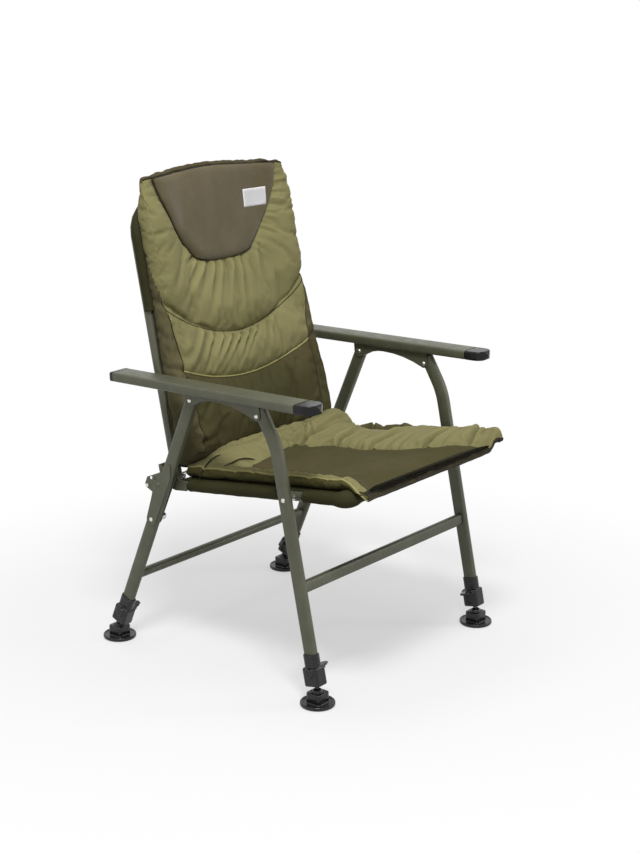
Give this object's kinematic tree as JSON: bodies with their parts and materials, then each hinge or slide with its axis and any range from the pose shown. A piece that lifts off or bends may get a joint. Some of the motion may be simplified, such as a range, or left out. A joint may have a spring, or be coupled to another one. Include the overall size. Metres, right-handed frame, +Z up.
{
  "type": "folding fishing chair",
  "caption": "Folding armchair with a padded seat and high padded back on a tubular frame, flat armrests and levelling feet on sliding inner legs.",
  "frame": {"origin": "on the ground, in the middle of the chair's bounding box", "axes": "+Z up, the chair faces -Y, +X is the sitter's left"},
  "size_m": [0.639, 0.696, 1.0085],
  "materials": {
    "frame": "satin powder coat",
    "zinc": "bright zinc",
    "plastic": "moulded, semi-gloss",
    "light_cloth": "woven polyester",
    "dark_cloth": "woven polyester",
    "fleece": "short pile fleece"
  },
  "bodies": {
    "seat": {"seat_frame": "frame", "seat_sling": "dark_cloth", "seat_pad": "dark_cloth", "left_hinge_plate": "frame", "left_hinge_bolt": "zinc", "left_seat_rivet": "zinc", "right_hinge_plate": "frame", "right_hinge_bolt": "zinc", "right_seat_rivet": "zinc"},
    "back": {"back_frame": "frame", "back_sling": "dark_cloth", "back_pad": "light_cloth", "head_cushion": "fleece"},
    "front_legs": {"front_crossbar": "frame", "left_front_leg": "frame", "left_front_leg_plug": "plastic", "left_front_leg_clamp": "plastic", "right_front_leg": "frame", "right_front_leg_plug": "plastic", "right_front_leg_clamp": "plastic"},
    "arms": {"left_armrest": "frame", "left_arm_front_cap": "plastic", "left_arm_rear_cap": "plastic", "left_arm_bracket": "frame", "left_front_arm_rivet": "zinc", "left_rear_arm_rivet": "zinc", "right_armrest": "frame", "right_arm_front_cap": "plastic", "right_arm_rear_cap": "plastic", "right_arm_bracket": "frame", "right_front_arm_rivet": "zinc", "right_rear_arm_rivet": "zinc"},
    "rear_legs": {"rear_crossbar": "frame", "left_rear_leg": "frame", "left_link_bolt": "zinc", "left_rear_leg_clamp": "plastic", "right_rear_leg": "frame", "right_link_bolt": "zinc", "right_rear_leg_clamp": "plastic"},
    "rear_links": {"link_tie_rod": "zinc", "left_lock_link": "frame", "right_lock_link": "frame"},
    "left_front_lever": {"left_front_clamp_lever": "plastic"},
    "left_front_inner_leg": {"left_front_inner_leg": "frame"},
    "left_front_ball": {"left_front_foot_ball": "plastic"},
    "left_front_foot": {"left_front_foot": "plastic"},
    "left_rear_lever": {"left_rear_clamp_lever": "plastic"},
    "left_rear_inner_leg": {"left_rear_inner_leg": "frame"},
    "left_rear_ball": {"left_rear_foot_ball": "plastic"},
    "left_rear_foot": {"left_rear_foot": "plastic"},
    "right_front_lever": {"right_front_clamp_lever": "plastic"},
    "right_front_inner_leg": {"right_front_inner_leg": "frame"},
    "right_front_ball": {"right_front_foot_ball": "plastic"},
    "right_front_foot": {"right_front_foot": "plastic"},
    "right_rear_lever": {"right_rear_clamp_lever": "plastic"},
    "right_rear_inner_leg": {"right_rear_inner_leg": "frame"},
    "right_rear_ball": {"right_rear_foot_ball": "plastic"},
    "right_rear_foot": {"right_rear_foot": "plastic"}
  },
  "joints": [
    {"name": "fold", "type": "hinge", "parent": "seat", "child": "front_legs", "pos_m": [0, -0.17349, 0.42], "axis": [1, 0, 0], "range_deg": [0, 70.8]},
    {"name": "arm_pivot", "type": "hinge", "parent": "front_legs", "child": "arms", "pos_m": [0, -0.10649, 0.583], "axis": [1, 0, 0], "range_deg": [-98.1, 0]},
    {"name": "rear_leg_pivot", "type": "hinge", "parent": "arms", "child": "rear_legs", "pos_m": [0, 0.07519, 0.585], "axis": [1, 0, 0], "range_deg": [0, 66.1]},
    {"name": "link_pivot", "type": "hinge", "parent": "rear_legs", "child": "rear_links", "pos_m": [0, 0.19451, 0.302], "axis": [1, 0, 0], "range_deg": [-85.4, 0]},
    {"name": "back_fold", "type": "hinge", "parent": "seat", "child": "back", "pos_m": [0, 0.17101, 0.3845], "axis": [1, 0, 0], "range_deg": [0, 66], "deforming": ["seat_pad", "back_pad"]},
    {"name": "left_front_lever", "type": "hinge", "parent": "front_legs", "child": "left_front_lever", "pos_m": [0.2644, -0.24551, 0.07686], "axis": [0, -0.9787, 0.2054], "range_deg": [0, 55]},
    {"name": "left_front_extend", "type": "slide", "parent": "front_legs", "child": "left_front_inner_leg", "axis": [0, -0.2054, -0.9787], "range_m": [0, 0.1]},
    {"name": "left_front_rock", "type": "hinge", "parent": "left_front_inner_leg", "child": "left_front_ball", "pos_m": [0.283, -0.25649, 0.0245], "axis": [1, 0, 0], "range_deg": [-18, 18]},
    {"name": "left_front_roll", "type": "hinge", "parent": "left_front_ball", "child": "left_front_foot", "pos_m": [0.283, -0.25649, 0.0245], "axis": [0, 1, 0], "range_deg": [-12, 12]},
    {"name": "left_rear_lever", "type": "hinge", "parent": "rear_legs", "child": "left_rear_lever", "pos_m": [0.2644, 0.29072, 0.0738], "axis": [0, -0.9214, -0.3885], "range_deg": [0, 55]},
    {"name": "left_rear_extend", "type": "slide", "parent": "rear_legs", "child": "left_rear_inner_leg", "axis": [0, 0.3885, -0.9214], "range_m": [0, 0.1]},
    {"name": "left_rear_rock", "type": "hinge", "parent": "left_rear_inner_leg", "child": "left_rear_ball", "pos_m": [0.283, 0.31151, 0.0245], "axis": [1, 0, 0], "range_deg": [-18, 18]},
    {"name": "left_rear_roll", "type": "hinge", "parent": "left_rear_ball", "child": "left_rear_foot", "pos_m": [0.283, 0.31151, 0.0245], "axis": [0, 1, 0], "range_deg": [-12, 12]},
    {"name": "right_front_lever", "type": "hinge", "parent": "front_legs", "child": "right_front_lever", "pos_m": [-0.2644, -0.24551, 0.07686], "axis": [0, 0.9787, -0.2054], "range_deg": [0, 55]},
    {"name": "right_front_extend", "type": "slide", "parent": "front_legs", "child": "right_front_inner_leg", "axis": [0, -0.2054, -0.9787], "range_m": [0, 0.1]},
    {"name": "right_front_rock", "type": "hinge", "parent": "right_front_inner_leg", "child": "right_front_ball", "pos_m": [-0.283, -0.25649, 0.0245], "axis": [1, 0, 0], "range_deg": [-18, 18]},
    {"name": "right_front_roll", "type": "hinge", "parent": "right_front_ball", "child": "right_front_foot", "pos_m": [-0.283, -0.25649, 0.0245], "axis": [0, 1, 0], "range_deg": [-12, 12]},
    {"name": "right_rear_lever", "type": "hinge", "parent": "rear_legs", "child": "right_rear_lever", "pos_m": [-0.2644, 0.29072, 0.0738], "axis": [0, 0.9214, 0.3885], "range_deg": [0, 55]},
    {"name": "right_rear_extend", "type": "slide", "parent": "rear_legs", "child": "right_rear_inner_leg", "axis": [0, 0.3885, -0.9214], "range_m": [0, 0.1]},
    {"name": "right_rear_rock", "type": "hinge", "parent": "right_rear_inner_leg", "child": "right_rear_ball", "pos_m": [-0.283, 0.31151, 0.0245], "axis": [1, 0, 0], "range_deg": [-18, 18]},
    {"name": "right_rear_roll", "type": "hinge", "parent": "right_rear_ball", "child": "right_rear_foot", "pos_m": [-0.283, 0.31151, 0.0245], "axis": [0, 1, 0], "range_deg": [-12, 12]}
  ],
  "couplings": [
    {"joint": "arm_pivot", "follows": "fold", "ratio": -1.3842},
    {"joint": "rear_leg_pivot", "follows": "fold", "ratio": 0.9322},
    {"joint": "link_pivot", "follows": "fold", "ratio": -1.2048}
  ]
}
